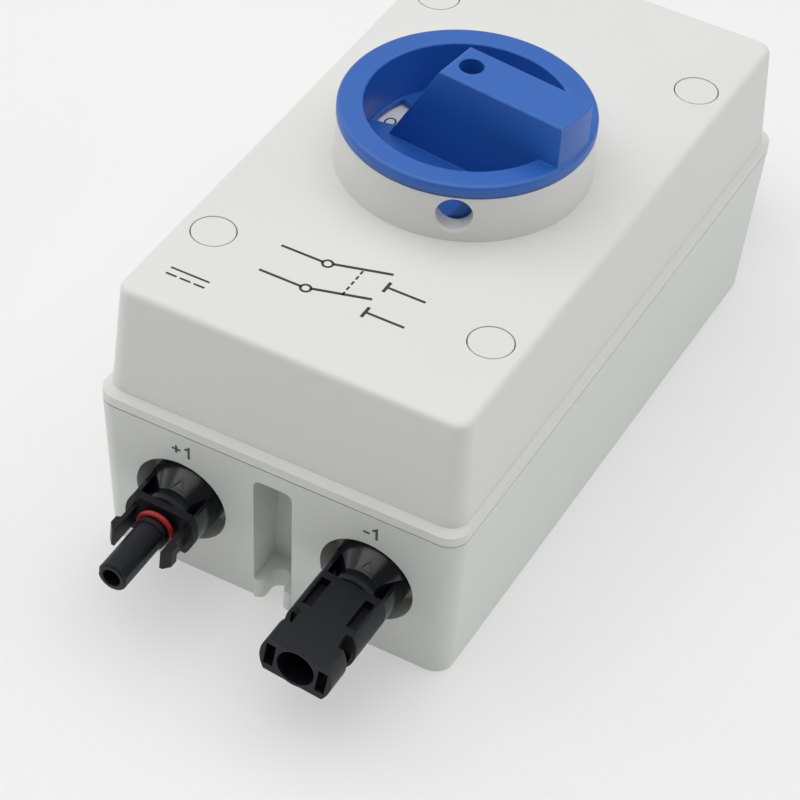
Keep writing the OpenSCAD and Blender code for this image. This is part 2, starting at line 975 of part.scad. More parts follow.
// Terminal block pocket, wire entry and screw access toward +X and +Y
module terminal_pocket() {
    gap = loose_gap;
    translate([block_x1 - gap, block_y1 - gap, block_dz1 - gap])
        cube([block_x2 - block_x1 + 2 * gap, block_y2 - block_y1 + 2 * gap, deck_h]);
    translate([terminal_x, block_y1, contact_dz])
        rotate([-90, 0, 0])
            cylinder(r = terminal_access_r, h = deck_w);
    translate([block_x2, terminal_y, contact_dz])
        rotate([0, 90, 0])
            cylinder(r = terminal_access_r, h = deck_w);
}

module contact_deck(n) {
    color(n % 2 == 0 ? deck_grey : dark_grey)
        at_deck(n)
            difference() {
                linear_extrude(deck_h)
                    rounded_rect(deck_w / 2, deck_w / 2, deck_corner_r);
                translate([0, 0, deck_floor_t])
                    cylinder(r = rotor_cavity_r, h = deck_h);
                translate([0, 0, -over])
                    cylinder(r = spigot_r + run_gap, h = deck_h);
                for (end = [0, 1])
                    mirror([0, end, 0]) {
                        translate([0, 0, contact_dz - contact_t / 2 - fit_gap])
                            linear_extrude(deck_h)
                                strip_outline(loose_gap);
                        terminal_pocket();
                    }
                translate([0, 0, -over])
                    at_tie_bolts()
                        cylinder(r = tie_hole_r, h = deck_h + 2 * over);
            }
}

module fixed_contact(n, end) {
    color(copper)
        at_deck(n)
            mirror([0, end < 0 ? 1 : 0, 0])
                translate([0, 0, contact_dz - contact_t / 2])
                    linear_extrude(contact_t)
                        strip_outline(0);
}

module terminal_block() {
    difference() {
        translate([block_x1, block_y1, block_dz1])
            cube([block_x2 - block_x1, block_y2 - block_y1, block_dz2 - block_dz1]);
        translate([terminal_x, block_y1 - over, contact_dz])
            rotate([-90, 0, 0])
                cylinder(r = wire_bore_r, h = deck_w);
        translate([terminal_x, terminal_y, contact_dz])
            rotate([0, 90, 0])
                cylinder(r = terminal_screw_r + fit_gap, h = deck_w);
    }
}

module at_terminals() {
    for (n = [1 : 4], end = [0, 1])
        at_deck(n)
            mirror([0, end, 0])
                children();
}

module terminal_blocks() {
    color(brass)
        at_terminals()
            terminal_block();
}

// Slotted clamping screw, tip against the wire, head in the deck's side opening
module terminal_screws() {
    head_x = 24;
    head_h = 2.6;
    head_r = 2.4;
    slot_t = 0.8;
    color(steel)
        at_terminals()
            translate([0, terminal_y, contact_dz])
                rotate([0, 90, 0])
                    difference() {
                        union() {
                            translate([0, 0, terminal_x + ferrule_r + 0.05])
                                cylinder(r = terminal_screw_r,
                                    h = head_x - terminal_x - ferrule_r);
                            translate([0, 0, head_x])
                                cylinder(r = head_r, h = head_h);
                        }
                        translate([-head_r - over, -slot_t / 2, head_x + head_h / 2])
                            cube([2 * (head_r + over), slot_t, head_h]);
                    }
}

module contact_deck_1() { contact_deck(1); }
module contact_deck_2() { contact_deck(2); }
module contact_deck_3() { contact_deck(3); }
module contact_deck_4() { contact_deck(4); }
module front_fixed_contact_1() { fixed_contact(1, -1); }
module front_fixed_contact_2() { fixed_contact(2, -1); }
module front_fixed_contact_3() { fixed_contact(3, -1); }
module front_fixed_contact_4() { fixed_contact(4, -1); }
module rear_fixed_contact_1() { fixed_contact(1, 1); }
module rear_fixed_contact_2() { fixed_contact(2, 1); }
module rear_fixed_contact_3() { fixed_contact(3, 1); }
module rear_fixed_contact_4() { fixed_contact(4, 1); }

// Case of the snap mechanism, with the two stops that the cam's arms run between
module mechanism_case() {
    color(dark_grey)
        translate([0, 0, case_z])
            difference() {
                union() {
                    difference() {
                        linear_extrude(case_h)
                            rounded_rect(deck_w / 2, deck_w / 2, deck_corner_r);
                        translate([0, 0, deck_floor_t])
                            cylinder(r = case_cavity_r, h = case_h);
                    }
                    // stops fill the two opposite quarters that the arms never enter
                    intersection() {
                        ring(case_cavity_r + over, stop_inner_r, case_h);
                        for (turn = [0, 180])
                            rotate([0, 0, turn])
                                translate([stop_edge, stop_edge, cam_z - case_z - stop_over])
                                    cube([deck_w / 2, deck_w / 2, cam_t + 2 * stop_over]);
                    }
                }
                translate([0, 0, -over])
                    cylinder(r = spigot_r + run_gap, h = case_h);
                translate([0, 0, -over])
                    at_tie_bolts()
                        cylinder(r = tie_hole_r, h = case_h + 2 * over);
            }
}

module mechanism_cover() {
    color(black)
        translate([0, 0, cover_z])
            difference() {
                linear_extrude(cover_t)
                    rounded_rect(deck_w / 2, deck_w / 2, deck_corner_r);
                translate([0, 0, -over])
                    cylinder(r = journal_r + run_gap, h = cover_t + 2 * over);
                translate([0, 0, -over])
                    at_tie_bolts()
                        cylinder(r = tie_hole_r, h = cover_t + 2 * over);
            }
}

module tie_bolts() {
    color(steel)
        translate([0, 0, cover_z + cover_t])
            at_tie_bolts()
                pan_screw(tie_r, cover_z + cover_t - plate_z - 0.2, m35_head_r, m35_head_h);
}

// Bridge between the rear terminals of two neighbouring decks
module series_link(n) {
    plate_y = deck_w / 2 + 0.4;
    side_x = deck_side(n) * terminal_x;
    color(copper) {
        for (m = [n, n + 1])
            translate([side_x, block_y1 + 1, contact_z(m)])
                rotate([-90, 0, 0])
                    cylinder(r = ferrule_r, h = plate_y - block_y1 - 1 + eps);
        translate([side_x - link_half_w, plate_y, contact_z(n) - link_half_w])
            cube([2 * link_half_w, link_t, deck_h + 2 * link_half_w]);
    }
}

module plus_series_link() { series_link(1); }
module minus_series_link() { series_link(3); }

// ---------------------------------------------------------------- wires

// Wire drawn from the origin along +Z. Each step is a straight length, then a roll about
// the wire, a bend angle and a bend radius; the last step has no bend.
module wire_path(steps, i = 0) {
    length = steps[i][0];
    translate([0, 0, -eps])
        cylinder(r = wire_r, h = length + 2 * eps);
    if (i < len(steps) - 1) {
        roll = steps[i][1];
        angle = steps[i][2];
        bend_r = steps[i][3];
        translate([0, 0, length])
            rotate([0, 0, roll])
                translate([bend_r, 0, 0]) {
                    rotate([-90, 0, 0])
                        rotate([0, 0, 180])
                            rotate_extrude(angle = angle)
                                translate([bend_r, 0])
                                    circle(wire_bend_r);
                    rotate([0, angle, 0])
                        translate([-bend_r, 0, 0])
                            wire_path(steps, i + 1);
                }
    }
}

// Bend angle of a double bend that steps sideways by the given distance
function s_angle(side_step, bend_r) =
    acos((2 * bend_r - side_step) / norm([2 * bend_r, wire_mid]))
    - atan2(wire_mid, 2 * bend_r);

// Length along the wire's first direction that such a double bend takes
function s_length(side_step, bend_r) =
    let (a = s_angle(side_step, bend_r))
        2 * bend_r * sin(a) + wire_mid * cos(a);

// Steps of a double bend toward roll, between straight lengths lead_in and lead_out
function s_steps(side_step, bend_r, roll, lead_in, lead_out) =
    let (a = s_angle(side_step, bend_r))
        [[lead_in, roll, a, bend_r], [wire_mid, 180, a, bend_r], lead_out];

// Lead straight from a front connector to the front terminal of deck n
module front_lead(n, bend_r) {
    side = deck_side(n);
    dx = side * (terminal_x - connector_x);
    dz = contact_z(n) - connector_z;
    side_step = norm([dx, dz]);
    lead_out = wire_start - wire_end_y - wire_lead_in - s_length(side_step, bend_r);
    translate([side * connector_x, -wire_start, connector_z])
        rotate([-90, 0, 0])
            wire_path(s_steps(side_step, bend_r, atan2(-dz, dx), wire_lead_in, [lead_out]));
}

// Lead from a rear connector, forward past the stack and round to the front terminal
module rear_lead(n, lead_in, bend_r) {
    side = deck_side(n);
    dx = side * (side_run_x - connector_x);
    dz = contact_z(n) - connector_z;
    side_step = norm([dx, dz]);
    roll = atan2(dz, dx);
    turn_back = 1;
    side_run = wire_start + wire_end_y + turn_back - lead_in - s_length(side_step, bend_r);
    loop_roll = (side > 0 ? 180 : 0) - roll - 180;
    loop = [side_run, loop_roll, 180, (side_run_x - terminal_x) / 2];
    translate([side * connector_x, wire_start, connector_z])
        rotate([90, 0, 0])
            wire_path(concat(s_steps(side_step, bend_r, roll, lead_in, loop), [[turn_back]]));
}

module front_plus_lead() {
    color(sheath_red)
        front_lead(1, 12);
}

module rear_plus_lead() {
    color(sheath_red)
        rear_lead(2, 12, 10);
}

module front_minus_lead() {
    color(black)
        front_lead(3, 12);
}

module rear_minus_lead() {
    color(black)
        rear_lead(4, 1, 15);
}

// Crimped wire ends in the four front terminals
module wire_ferrules() {
    color(steel)
        for (n = [1 : 4])
            at_deck(n)
                translate([terminal_x, fit_gap - wire_end_y, contact_dz])
                    rotate([-90, 0, 0])
                        cylinder(r = ferrule_r, h = ferrule_l);
}

// ---------------------------------------------------------------- connectors

// Round-ended block of the connector bodies: a circle cut to a half height
module body_outline(half_h) {
    intersection() {
        circle(body_r);
        square([2 * body_r + over, 2 * half_h], center = true);
    }
}

// Threaded stub, flange, cone and lipped neck that both connector kinds share, with the
// two side webs that join the flange to the body
module connector_root() {
    translate([0, 0, stub_end])
        cylinder(r = stub_r, h = flange_z - stub_end + eps);
    translate([0, 0, flange_z])
        cylinder(r = flange_r, h = flange_front - flange_z);
    translate([0, 0, flange_front])
        cylinder(r1 = flange_r, r2 = neck_r, h = cone_front - flange_front);
    translate([0, 0, cone_front - eps])
        cylinder(r = neck_r, h = body_back - cone_front + 2 * eps);
    translate([0, 0, body_back - lip_l])
        cylinder(r = lip_r, h = lip_l + eps);
    translate([0, 0, flange_front - over])
        linear_extrude(body_back - flange_front + over + eps)
            difference() {
                body_outline(web_half_h);
                square([2 * web_inner_x, 2 * body_r + over], center = true);
            }
}

// One latch arm of a tube connector toward +X, with its barb and bevelled tip
module latch_arm() {
    translate([0, arm_half_h, 0])
        rotate([90, 0, 0])
            linear_extrude(2 * arm_half_h)
                polygon([
                    [arm_inner_x, block_front - eps], [arm_outer_x, block_front - eps],
                    [arm_outer_x, arm_tip - 4.4], [arm_barb_x, arm_tip - 3.9],
                    [arm_barb_x, arm_tip - 1.7], [arm_outer_x - 0.4, arm_tip],
                    [arm_inner_x, arm_tip]
                ]);
}

// Connector with two latch arms and a long tube
module tube_connector() {
    difference() {
        union() {
            connector_root();
            translate([0, 0, body_back])
                linear_extrude(block_front - body_back)
                    body_outline(block_half_h);
            translate([0, 0, block_front - eps])
                cylinder(r = tube_neck_r, h = tube_lip_back - block_front + 2 * eps);
            translate([0, 0, tube_lip_back])
                cylinder(r = tube_lip_r, h = tube_lip_t);
            translate([0, 0, tube_lip_back])
                linear_extrude(tube_front - tube_lip_back - tube_edge)
                    intersection() {
                        circle(tube_r);
                        square([2 * tube_half_w, 2 * tube_r + over], center = true);
                    }
            translate([0, 0, tube_front - tube_edge - eps])
                cylinder(r1 = tube_half_w - 0.1, r2 = tube_half_w - 0.1 - tube_edge,
                    h = tube_edge + eps);
            for (turn = [0, 180])
                rotate([0, 0, turn])
                    latch_arm();
        }
        translate([0, 0, stub_end - over])
            cylinder(r = tube_bore_r, h = tube_front);
    }
}

// Openings of the barrel's latch on one side, toward +X
module barrel_latch_cuts() {
    // slot for a latch arm, open at the front
    translate([latch_slot_x - latch_slot_w / 2, -latch_slot_half_h, latch_slot_back])
        cube([latch_slot_w, 2 * latch_slot_half_h, barrel_front]);
    // side notch that shows the latched barb
    translate([notch_x, -body_r, notch_back])
        cube([body_r, 2 * body_r, notch_front - notch_back]);
    // windows above and below
    for (up = [0, 1])
        mirror([0, up, 0])
            translate([top_window_x - top_window_w / 2, top_window_low, top_window_back])
                cube([top_window_w, body_r, top_window_front - top_window_back]);
}

// Connector with a wide bore, latch slots and side notches
module barrel_connector() {
    difference() {
        union() {
            connector_root();
            translate([0, 0, body_back])
                linear_extrude(barrel_front - body_back) {
                    circle(barrel_core_r);
                    body_outline(barrel_half_h);
                }
        }
        translate([0, 0, stub_end - over])
            cylinder(r = tube_bore_r, h = barrel_front);
        translate([0, 0, barrel_well_back])
            cylinder(r = barrel_well_r, h = barrel_front);
        translate([0, 0, barrel_bore_back])
            cylinder(r = barrel_bore_r, h = barrel_front);
        for (turn = [0, 180])
            rotate([0, 0, turn])
                barrel_latch_cuts();
    }
}

module front_plus_connector() {
    color(black)
        at_connector(-1, -1)
            tube_connector();
}

module rear_plus_connector() {
    color(black)
        at_connector(-1, 1)
            tube_connector();
}

module front_minus_connector() {
    color(black)
        at_connector(1, -1)
            barrel_connector();
}

module rear_minus_connector() {
    color(black)
        at_connector(1, 1)
            barrel_connector();
}

module connector_seals() {
    color(dark_grey)
        at_all_connectors()
            translate([0, 0, recess_floor])
                ring(flange_r - 0.4, stub_r + loose_gap, flange_z - recess_floor);
}

module connector_nuts() {
    color(black)
        at_all_connectors()
            translate([0, 0, recess_floor - recess_floor_t - nut_h])
                difference() {
                    cylinder(r = nut_r, h = nut_h, $fn = 6);
                    translate([0, 0, -over])
                        cylinder(r = stub_r + fit_gap, h = nut_h + 2 * over);
                }
}

// Sleeve contacts inside the tube connectors, with the crimp barrel at the wire
module socket_contacts() {
    back = wire_start + fit_gap;
    color(brass)
        for (end = [-1, 1])
            at_connector(-1, end)
                difference() {
                    translate([0, 0, back])
                        cylinder(r = contact_r, h = socket_tip - back);
                    translate([0, 0, socket_bore_back])
                        cylinder(r = socket_bore_r, h = socket_tip);
                }
}

// Pin contacts at the bottom of the barrel connectors' bores
module pin_contacts() {
    back = wire_start + fit_gap;
    color(brass)
        for (end = [-1, 1])
            at_connector(1, end) {
                translate([0, 0, back])
                    cylinder(r = contact_r, h = pin_back - back);
                translate([0, 0, pin_back - eps])
                    cylinder(r = pin_r, h = pin_l);
            }
}

module mating_seal_rings() {
    color(seal_red)
        for (end = [-1, 1])
            at_connector(-1, end)
                translate([0, 0, tube_lip_back - seal_ring_section_r - fit_gap - 0.6])
                    o_ring(seal_ring_r, seal_ring_section_r);
}

// ---------------------------------------------------------------- drawing

base_housing();
lid_housing();
lid_gasket();
lid_screws();
screw_caps();
dial_plate();
handle();
handle_screw();
handle_washer();
handle_seal_ring();
drive_shaft();
drive_cam();
snap_spring();
snap_rotor();
rotor_spindle();
rotor_segment_1();
rotor_segment_2();
rotor_segment_3();
rotor_segment_4();
moving_contact_1();
moving_contact_2();
moving_contact_3();
moving_contact_4();
switch_plate();
switch_plate_screws();
contact_deck_1();
contact_deck_2();
contact_deck_3();
contact_deck_4();
front_fixed_contact_1();
front_fixed_contact_2();
front_fixed_contact_3();
front_fixed_contact_4();
rear_fixed_contact_1();
rear_fixed_contact_2();
rear_fixed_contact_3();
rear_fixed_contact_4();
terminal_blocks();
terminal_screws();
mechanism_case();
mechanism_cover();
tie_bolts();
plus_series_link();
minus_series_link();
front_plus_lead();
rear_plus_lead();
front_minus_lead();
rear_minus_lead();
wire_ferrules();
front_plus_connector();
rear_plus_connector();
front_minus_connector();
rear_minus_connector();
connector_seals();
connector_nuts();
socket_contacts();
pin_contacts();
mating_seal_rings();
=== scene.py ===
import json
import math

import bmesh
import bpy
from mathutils import Matrix, Vector


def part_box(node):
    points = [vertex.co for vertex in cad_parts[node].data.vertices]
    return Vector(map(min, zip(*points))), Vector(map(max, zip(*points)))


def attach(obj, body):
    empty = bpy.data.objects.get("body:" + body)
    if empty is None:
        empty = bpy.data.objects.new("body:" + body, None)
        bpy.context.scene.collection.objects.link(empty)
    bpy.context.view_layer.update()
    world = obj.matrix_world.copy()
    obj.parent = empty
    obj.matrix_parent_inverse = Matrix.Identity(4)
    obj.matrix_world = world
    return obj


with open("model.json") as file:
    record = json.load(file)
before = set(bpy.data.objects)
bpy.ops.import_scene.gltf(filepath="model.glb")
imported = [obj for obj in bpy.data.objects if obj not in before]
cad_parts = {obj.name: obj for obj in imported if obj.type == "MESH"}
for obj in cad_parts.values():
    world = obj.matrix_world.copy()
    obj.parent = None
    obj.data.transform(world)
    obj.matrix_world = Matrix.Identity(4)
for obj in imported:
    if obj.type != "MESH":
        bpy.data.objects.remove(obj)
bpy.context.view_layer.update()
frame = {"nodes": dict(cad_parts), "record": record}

# Looks of a rotary isolator switch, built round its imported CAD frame.
# Metres, with +Z out of the wall. Marks are laid out in millimetres and scaled by MM.

MM = 0.001
nodes = frame["nodes"]
scene = bpy.context.scene


# ---------------------------------------------------------------- materials

class Look:
    """A node material that is put together step by step round one Principled shader."""

    def __init__(self, name):
        self.material = bpy.data.materials.new(name)
        self.material.use_nodes = True
        self.tree = self.material.node_tree
        self.shader = self.tree.nodes["Principled BSDF"]
        self.place = self.tree.nodes.new("ShaderNodeTexCoord").outputs["Object"]

    def add(self, kind, settings=None, **inputs):
        node = self.tree.nodes.new("ShaderNode" + kind)
        for key, value in (settings or {}).items():
            setattr(node, key, value)
        for key, value in inputs.items():
            self.plug(node.inputs[key.replace("_", " ")], value)
        return node

    def plug(self, socket, value):
        if isinstance(value, bpy.types.NodeSocket):
            self.tree.links.new(value, socket)
        else:
            socket.default_value = value

    def noise(self, size, detail=2.0, stretch=None):
        """Noise from 0 to 1 whose features are about size metres wide."""
        place = self.place
        if stretch:
            scaled = self.add("Mapping")
            self.plug(scaled.inputs["Vector"], self.place)
            scaled.inputs["Scale"].default_value = stretch
            place = scaled.outputs["Vector"]
        return self.add("TexNoise", Vector=place, Scale=1 / size, Detail=detail).outputs["Fac"]

    def math(self, operation, a, b):
        node = self.add("Math", {"operation": operation})
        self.plug(node.inputs[0], a)
        self.plug(node.inputs[1], b)
        return node.outputs[0]

    def span(self, value, low, high, start=0.3, stop=0.7):
        """Value from start to stop mapped onto low to high."""
        node = self.add("MapRange")
        for key, given in (("Value", value), ("From Min", start), ("From Max", stop),
                           ("To Min", low), ("To Max", high)):
            self.plug(node.inputs[key], given)
        return node.outputs["Result"]

    def mix(self, factor, a, b):
        node = self.add("Mix", {"data_type": "RGBA"})
        self.plug(node.inputs[0], factor)
        self.plug(node.inputs[6], a)
        self.plug(node.inputs[7], b)
        return node.outputs[2]

    def edges(self, radius):
        """1 along sharp outer and inner edges, 0 on open faces."""
        rounded = self.add("Bevel", {"samples": 4}, Radius=radius).outputs["Normal"]
        plain = self.add("NewGeometry").outputs["Normal"]
        dot = self.add("VectorMath", {"operation": "DOT_PRODUCT"})
        self.plug(dot.inputs[0], rounded)
        self.plug(dot.inputs[1], plain)
        return self.span(dot.outputs["Value"], 1.0, 0.0, 0.86, 0.995)

    def bump(self, layers, rounding=0.25 * MM):
        """Stacks (height socket, depth in metres) layers on softly rounded edges."""
        normal = self.add("Bevel", {"samples": 6}, Radius=rounding).outputs["Normal"]
        for height, depth in layers:
            node = self.add("Bump", Height=height, Distance=depth, Strength=1.0)
            self.plug(node.inputs["Normal"], normal)
            normal = node.outputs["Normal"]
        self.plug(self.shader.inputs["Normal"], normal)


def tint(colour, factor):
    """The colour made lighter or darker by a factor."""
    return tuple(min(1.0, c * factor) for c in colour[:3]) + (1.0,)


def srgb(red, green, blue):
    """Linear colour of an 8-bit display colour."""

    def linear(c):
        c /= 255
        return c / 12.92 if c <= 0.04045 else ((c + 0.055) / 1.055) ** 2.4

    return (linear(red), linear(green), linear(blue), 1.0)


def moulded(name, colour, roughness, grain=0.3 * MM, depth=0.006 * MM, wear_highlight_tint=1.15,
            variation=0.03, specular=0.5, polish=None, wear_highlight_strength=0.45):
    """Moulded plastic: fine eroded grain, faint flow clouds, handling sheen and paler edges,
    partly wear and partly a painted edge highlight.

    polish is (distance from the housing's middle in metres, roughness and specular level nearer
    than that); the strength given after polish is how strongly the edges turn to the lighter edge
    colour, which is partly wear and partly a painted edge highlight."""
    look = Look(name)
    clouds = look.noise(35 * MM, 3)
    mottle = look.noise(1.6 * MM, 4)
    fine = look.noise(grain, 3)
    edges = look.edges(0.5 * MM)
    patches = look.span(look.noise(3 * MM, 4), 0.2, 1)
    # mask of the paler edges: partly wear, partly a painted edge highlight
    wear_and_highlight_mask = look.math("MULTIPLY", edges, patches)
    base = look.mix(look.span(clouds, 0, 1), tint(colour, 1 - variation),
                    tint(colour, 1 + variation))
    base = look.mix(look.span(mottle, 0, 0.5), base, tint(colour, 1 - variation * 1.2))
    # edges lightened here: partly wear, partly a painted edge highlight
    base = look.mix(look.math("MULTIPLY", wear_and_highlight_mask, wear_highlight_strength), base, tint(colour, wear_highlight_tint))
    look.plug(look.shader.inputs["Base Color"], base)
    rough = look.math("ADD", look.span(clouds, roughness - 0.05, roughness + 0.05),
                      look.span(mottle, -0.04, 0.04))
    if polish:
        limit, near_roughness, near_specular = polish
        away = look.math("ABSOLUTE", look.add("SeparateXYZ", Vector=look.place).outputs["Y"], 0)
        matt = look.math("GREATER_THAN", away, limit)
        rough = look.math("ADD", look.math("MULTIPLY", matt, rough),
                          look.span(matt, near_roughness, 0, 0, 1))
        specular = look.span(matt, near_specular, specular, 0, 1)
    look.plug(look.shader.inputs["Roughness"], rough)
    look.plug(look.shader.inputs["Specular IOR Level"], specular)
    look.bump([(fine, depth), (mottle, depth * 1.5)])
    return look.material


def metal(name, colour, roughness, brush=(1, 1, 12)):
    """Plated or drawn metal: streaks along the drawing direction, tarnish and painted bright edge
    highlights.
    """
    look = Look(name)
    streaks = look.noise(0.5 * MM, 2, brush)
    stains = look.noise(4 * MM, 5)
    base = look.mix(look.span(stains, 0, 1), tint(colour, 0.82), tint(colour, 1.08))
    # painted highlight: metal edges tinted brighter
    base = look.mix(look.edges(0.25 * MM), base, tint(colour, 1.25))
    look.plug(look.shader.inputs["Base Color"], base)
    look.plug(look.shader.inputs["Roughness"],
              look.math("ADD", look.span(stains, roughness - 0.06, roughness + 0.1),
                        look.span(streaks, -0.05, 0.05)))
    look.shader.inputs["Metallic"].default_value = 1.0
    look.bump([(streaks, 0.004 * MM)])
    return look.material


def rubber(name, colour, roughness=0.5):
    """Moulded rubber or cable sheath: dull skin with dust in the pores and a soft sheen."""
    look = Look(name)
    pores = look.noise(0.35 * MM, 4)
    dust = look.noise(5 * MM, 5)
    base = look.mix(look.span(dust, 0, 0.25), colour, tint(colour, 1.9))
    look.plug(look.shader.inputs["Base Color"], base)
    look.plug(look.shader.inputs["Roughness"], look.span(pores, roughness - 0.1, roughness + 0.12))
    look.shader.inputs["Sheen Weight"].default_value = 0.08
    look.bump([(pores, 0.008 * MM)])
    return look.material


LOOKS = {
    "lid_plastic": moulded("lid plastic", srgb(226, 226, 223), 0.5, depth=0.004 * MM, wear_highlight_tint=1.06,
                           variation=0.008, wear_highlight_strength=0.6),
    "base_plastic": moulded("base plastic", srgb(218, 220, 217), 0.42, depth=0.004 * MM,
                            wear_highlight_tint=1.14, variation=0.012, wear_highlight_strength=0.7),
    "dial_white": moulded("dial plastic", srgb(238, 238, 234), 0.4, depth=0.002 * MM,
                          wear_highlight_tint=1.02, variation=0.01),
    "handle_plastic": moulded("handle plastic", srgb(35, 98, 185), 0.42, grain=0.25 * MM,
                              depth=0.004 * MM, wear_highlight_tint=2.3, variation=0.04, specular=0.6, wear_highlight_strength=0.8),
    "dark_moulding": moulded("dark moulding", srgb(62, 63, 66), 0.5, depth=0.01 * MM),
    "black_moulding": moulded("black moulding", srgb(34, 34, 36), 0.45, depth=0.008 * MM),
    "connector_plastic": moulded("connector plastic", srgb(15, 16, 21), 0.48, grain=0.2 * MM,
                                 depth=0.003 * MM, wear_highlight_tint=2.2, variation=0.1, specular=0.32,
                                 polish=(92.8 * MM, 0.2, 0.7)),
    "steel": metal("plated steel", srgb(200, 202, 206), 0.28),
    "zinc": metal("cast zinc", srgb(170, 172, 176), 0.42, brush=(1, 1, 1)),
    "copper": metal("copper strip", srgb(214, 138, 104), 0.3, brush=(1, 10, 1)),
    "brass": metal("turned brass", srgb(212, 182, 104), 0.25, brush=(10, 10, 1)),
    "black_rubber": rubber("black rubber", srgb(28, 28, 28)),
    "red_rubber": rubber("red rubber", srgb(156, 16, 22), 0.35),
    "red_cable": rubber("red cable", srgb(150, 24, 26), 0.45),
    "black_cable": rubber("black cable", srgb(30, 30, 30), 0.45),
}

mounts = {mount["name"]: mount for mount in frame["record"]["mounts"]}
slot_of = {part["node"]: part["material_slot"] for part in frame["record"]["subparts"]}
for name, piece in nodes.items():
    piece.data.materials.clear()
    piece.data.materials.append(LOOKS[slot_of[name]])


# ---------------------------------------------------------------- CAD surfaces

def soften(piece):
    """Smooth shading on curved faces and hard shading on flat ones, without moving a vertex."""
    weld = piece.modifiers.new("weld", "WELD")
    weld.merge_threshold = 0.002 * MM
    split = piece.modifiers.new("split", "EDGE_SPLIT")
    split.split_angle = math.radians(26)
    normals = piece.modifiers.new("normals", "WEIGHTED_NORMAL")
    normals.weight = 100
    for face in piece.data.polygons:
        face.use_smooth = True


for piece in nodes.values():
    soften(piece)


# ---------------------------------------------------------------- printed and raised marks

def offset_path(path, width, closed):
    """Left and right edges of a stroke of the given width along a flat path, mitred."""
    left, right = [], []
    for i, point in enumerate(path):
        before = path[i - 1] if closed or i > 0 else None
        after = path[(i + 1) % len(path)] if closed or i < len(path) - 1 else None
        runs = [(b - a).normalized() for a, b in ((before, point), (point, after)) if a and b]
        along = sum(runs, Vector((0, 0))).normalized()
        across = Vector((-along.y, along.x))
        reach = width / 2 / max(0.4, abs(across.dot(Vector((-runs[0].y, runs[0].x)))))
        left.append(point + across * reach)
        right.append(point - across * reach)
    return left, right


def add_stroke(mesh, path, width, depth, place, closed=False):
    """Adds one closed ribbon to a bmesh; place(u, v, h) gives its point in metres."""
    sides = offset_path([Vector(p) for p in path], width, closed)
    rings = []
    for low, high in zip(*sides):
        rings.append([mesh.verts.new(place(*corner)) for corner in (
            (low.x, low.y, -depth), (low.x, low.y, depth),
            (high.x, high.y, depth), (high.x, high.y, -depth))])
    count = len(rings)
    for i in range(count if closed else count - 1):
        here, there = rings[i], rings[(i + 1) % count]
        for k in range(4):
            m = (k + 1) % 4
            mesh.faces.new((here[k], here[m], there[m], there[k]))
    if not closed:
        mesh.faces.new(reversed(rings[0]))
        mesh.faces.new(rings[-1])


def add_mark(name, strokes, place, material, body, depth=0.03):
    """One object from strokes of (path, width, closed), all in millimetres on a surface."""
    mesh = bmesh.new()
    for path, width, closed in strokes:
        add_stroke(mesh, path, width, depth, place, closed)
    bmesh.ops.recalc_face_normals(mesh, faces=mesh.faces)
    data = bpy.data.meshes.new(name)
    mesh.to_mesh(data)
    mesh.free()
    mark = bpy.data.objects.new(name, data)
    data.materials.append(material)
    scene.collection.objects.link(mark)
    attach(mark, body)


def line(start, stop, width):
    """Straight stroke between two places."""
    return ([start, stop], width, False)


def level(u, v, reach, width):
    """Horizontal stroke centred on u, v."""
    return line((u - reach, v), (u + reach, v), width)


def upright(u, v, reach, width):
    """Vertical stroke centred on u, v."""
    return line((u, v - reach), (u, v + reach), width)


def oval(u, v, half_u, half_v, count=40):
    """Closed path round u, v."""
    return [(u + half_u * math.cos(2 * math.pi * i / count),
             v + half_v * math.sin(2 * math.pi * i / count)) for i in range(count)]


def digit_one(u, v, height):
    """A figure 1 whose stem stands at u on the base line v."""
    return [(u - 0.32 * height, v + 0.74 * height), (u, v + height), (u, v)]


def triangle(u, v, half_u, half_v, steps=6):
    """Closed path with its point toward lower v, its sides in steps so that they can bend."""
    corners = [Vector((u, v - half_v)), Vector((u + half_u, v + half_v)),
               Vector((u - half_u, v + half_v))]
    return [corners[i].lerp(corners[(i + 1) % 3], k / steps)
            for i in range(3) for k in range(steps)]


def end_face(end):
    """Surface of the base's end wall, u to the reader's right and v up; end is -1 at the front."""
    foot_y, top_y, rise = 84.0, 86.8, 43.2

    def place(u, v, h):
        y = foot_y + (top_y - foot_y) * v / rise + h
        return Vector((-end * u, end * y, v)) * MM
    return place


def cone_face(mount_name, roll):
    """Surface of a connector's cone, u round it from its top and v forward from its foot."""
    foot_r, foot_y, head_r, head_y = 9.35, 84.0, 5.8, 89.0
    length = math.hypot(head_y - foot_y, foot_r - head_r)
    outward, forward = (head_y - foot_y) / length, (foot_r - head_r) / length
    middle = Vector(mounts[mount_name]["pos_m"]) / MM
    end = math.copysign(1, middle.y)

    def place(u, v, h):
        radius = foot_r + (head_r - foot_r) * v / length
        angle = u / radius - math.radians(roll)
        radius += outward * h
        along = foot_y + (head_y - foot_y) * v / length + forward * h
        return Vector((middle.x + radius * math.sin(angle), end * along,
                       middle.z + radius * math.cos(angle))) * MM
    return place


def flat_top(z):
    """Level surface z millimetres out of the wall, u along X and v along Y."""
    return lambda u, v, h: Vector((u, v, z + h)) * MM


ink = moulded("grey print", srgb(84, 87, 89), 0.55, depth=0.001 * MM, variation=0.06)
dark_ink = moulded("black print", srgb(46, 47, 50), 0.5, depth=0.001 * MM, variation=0.06)


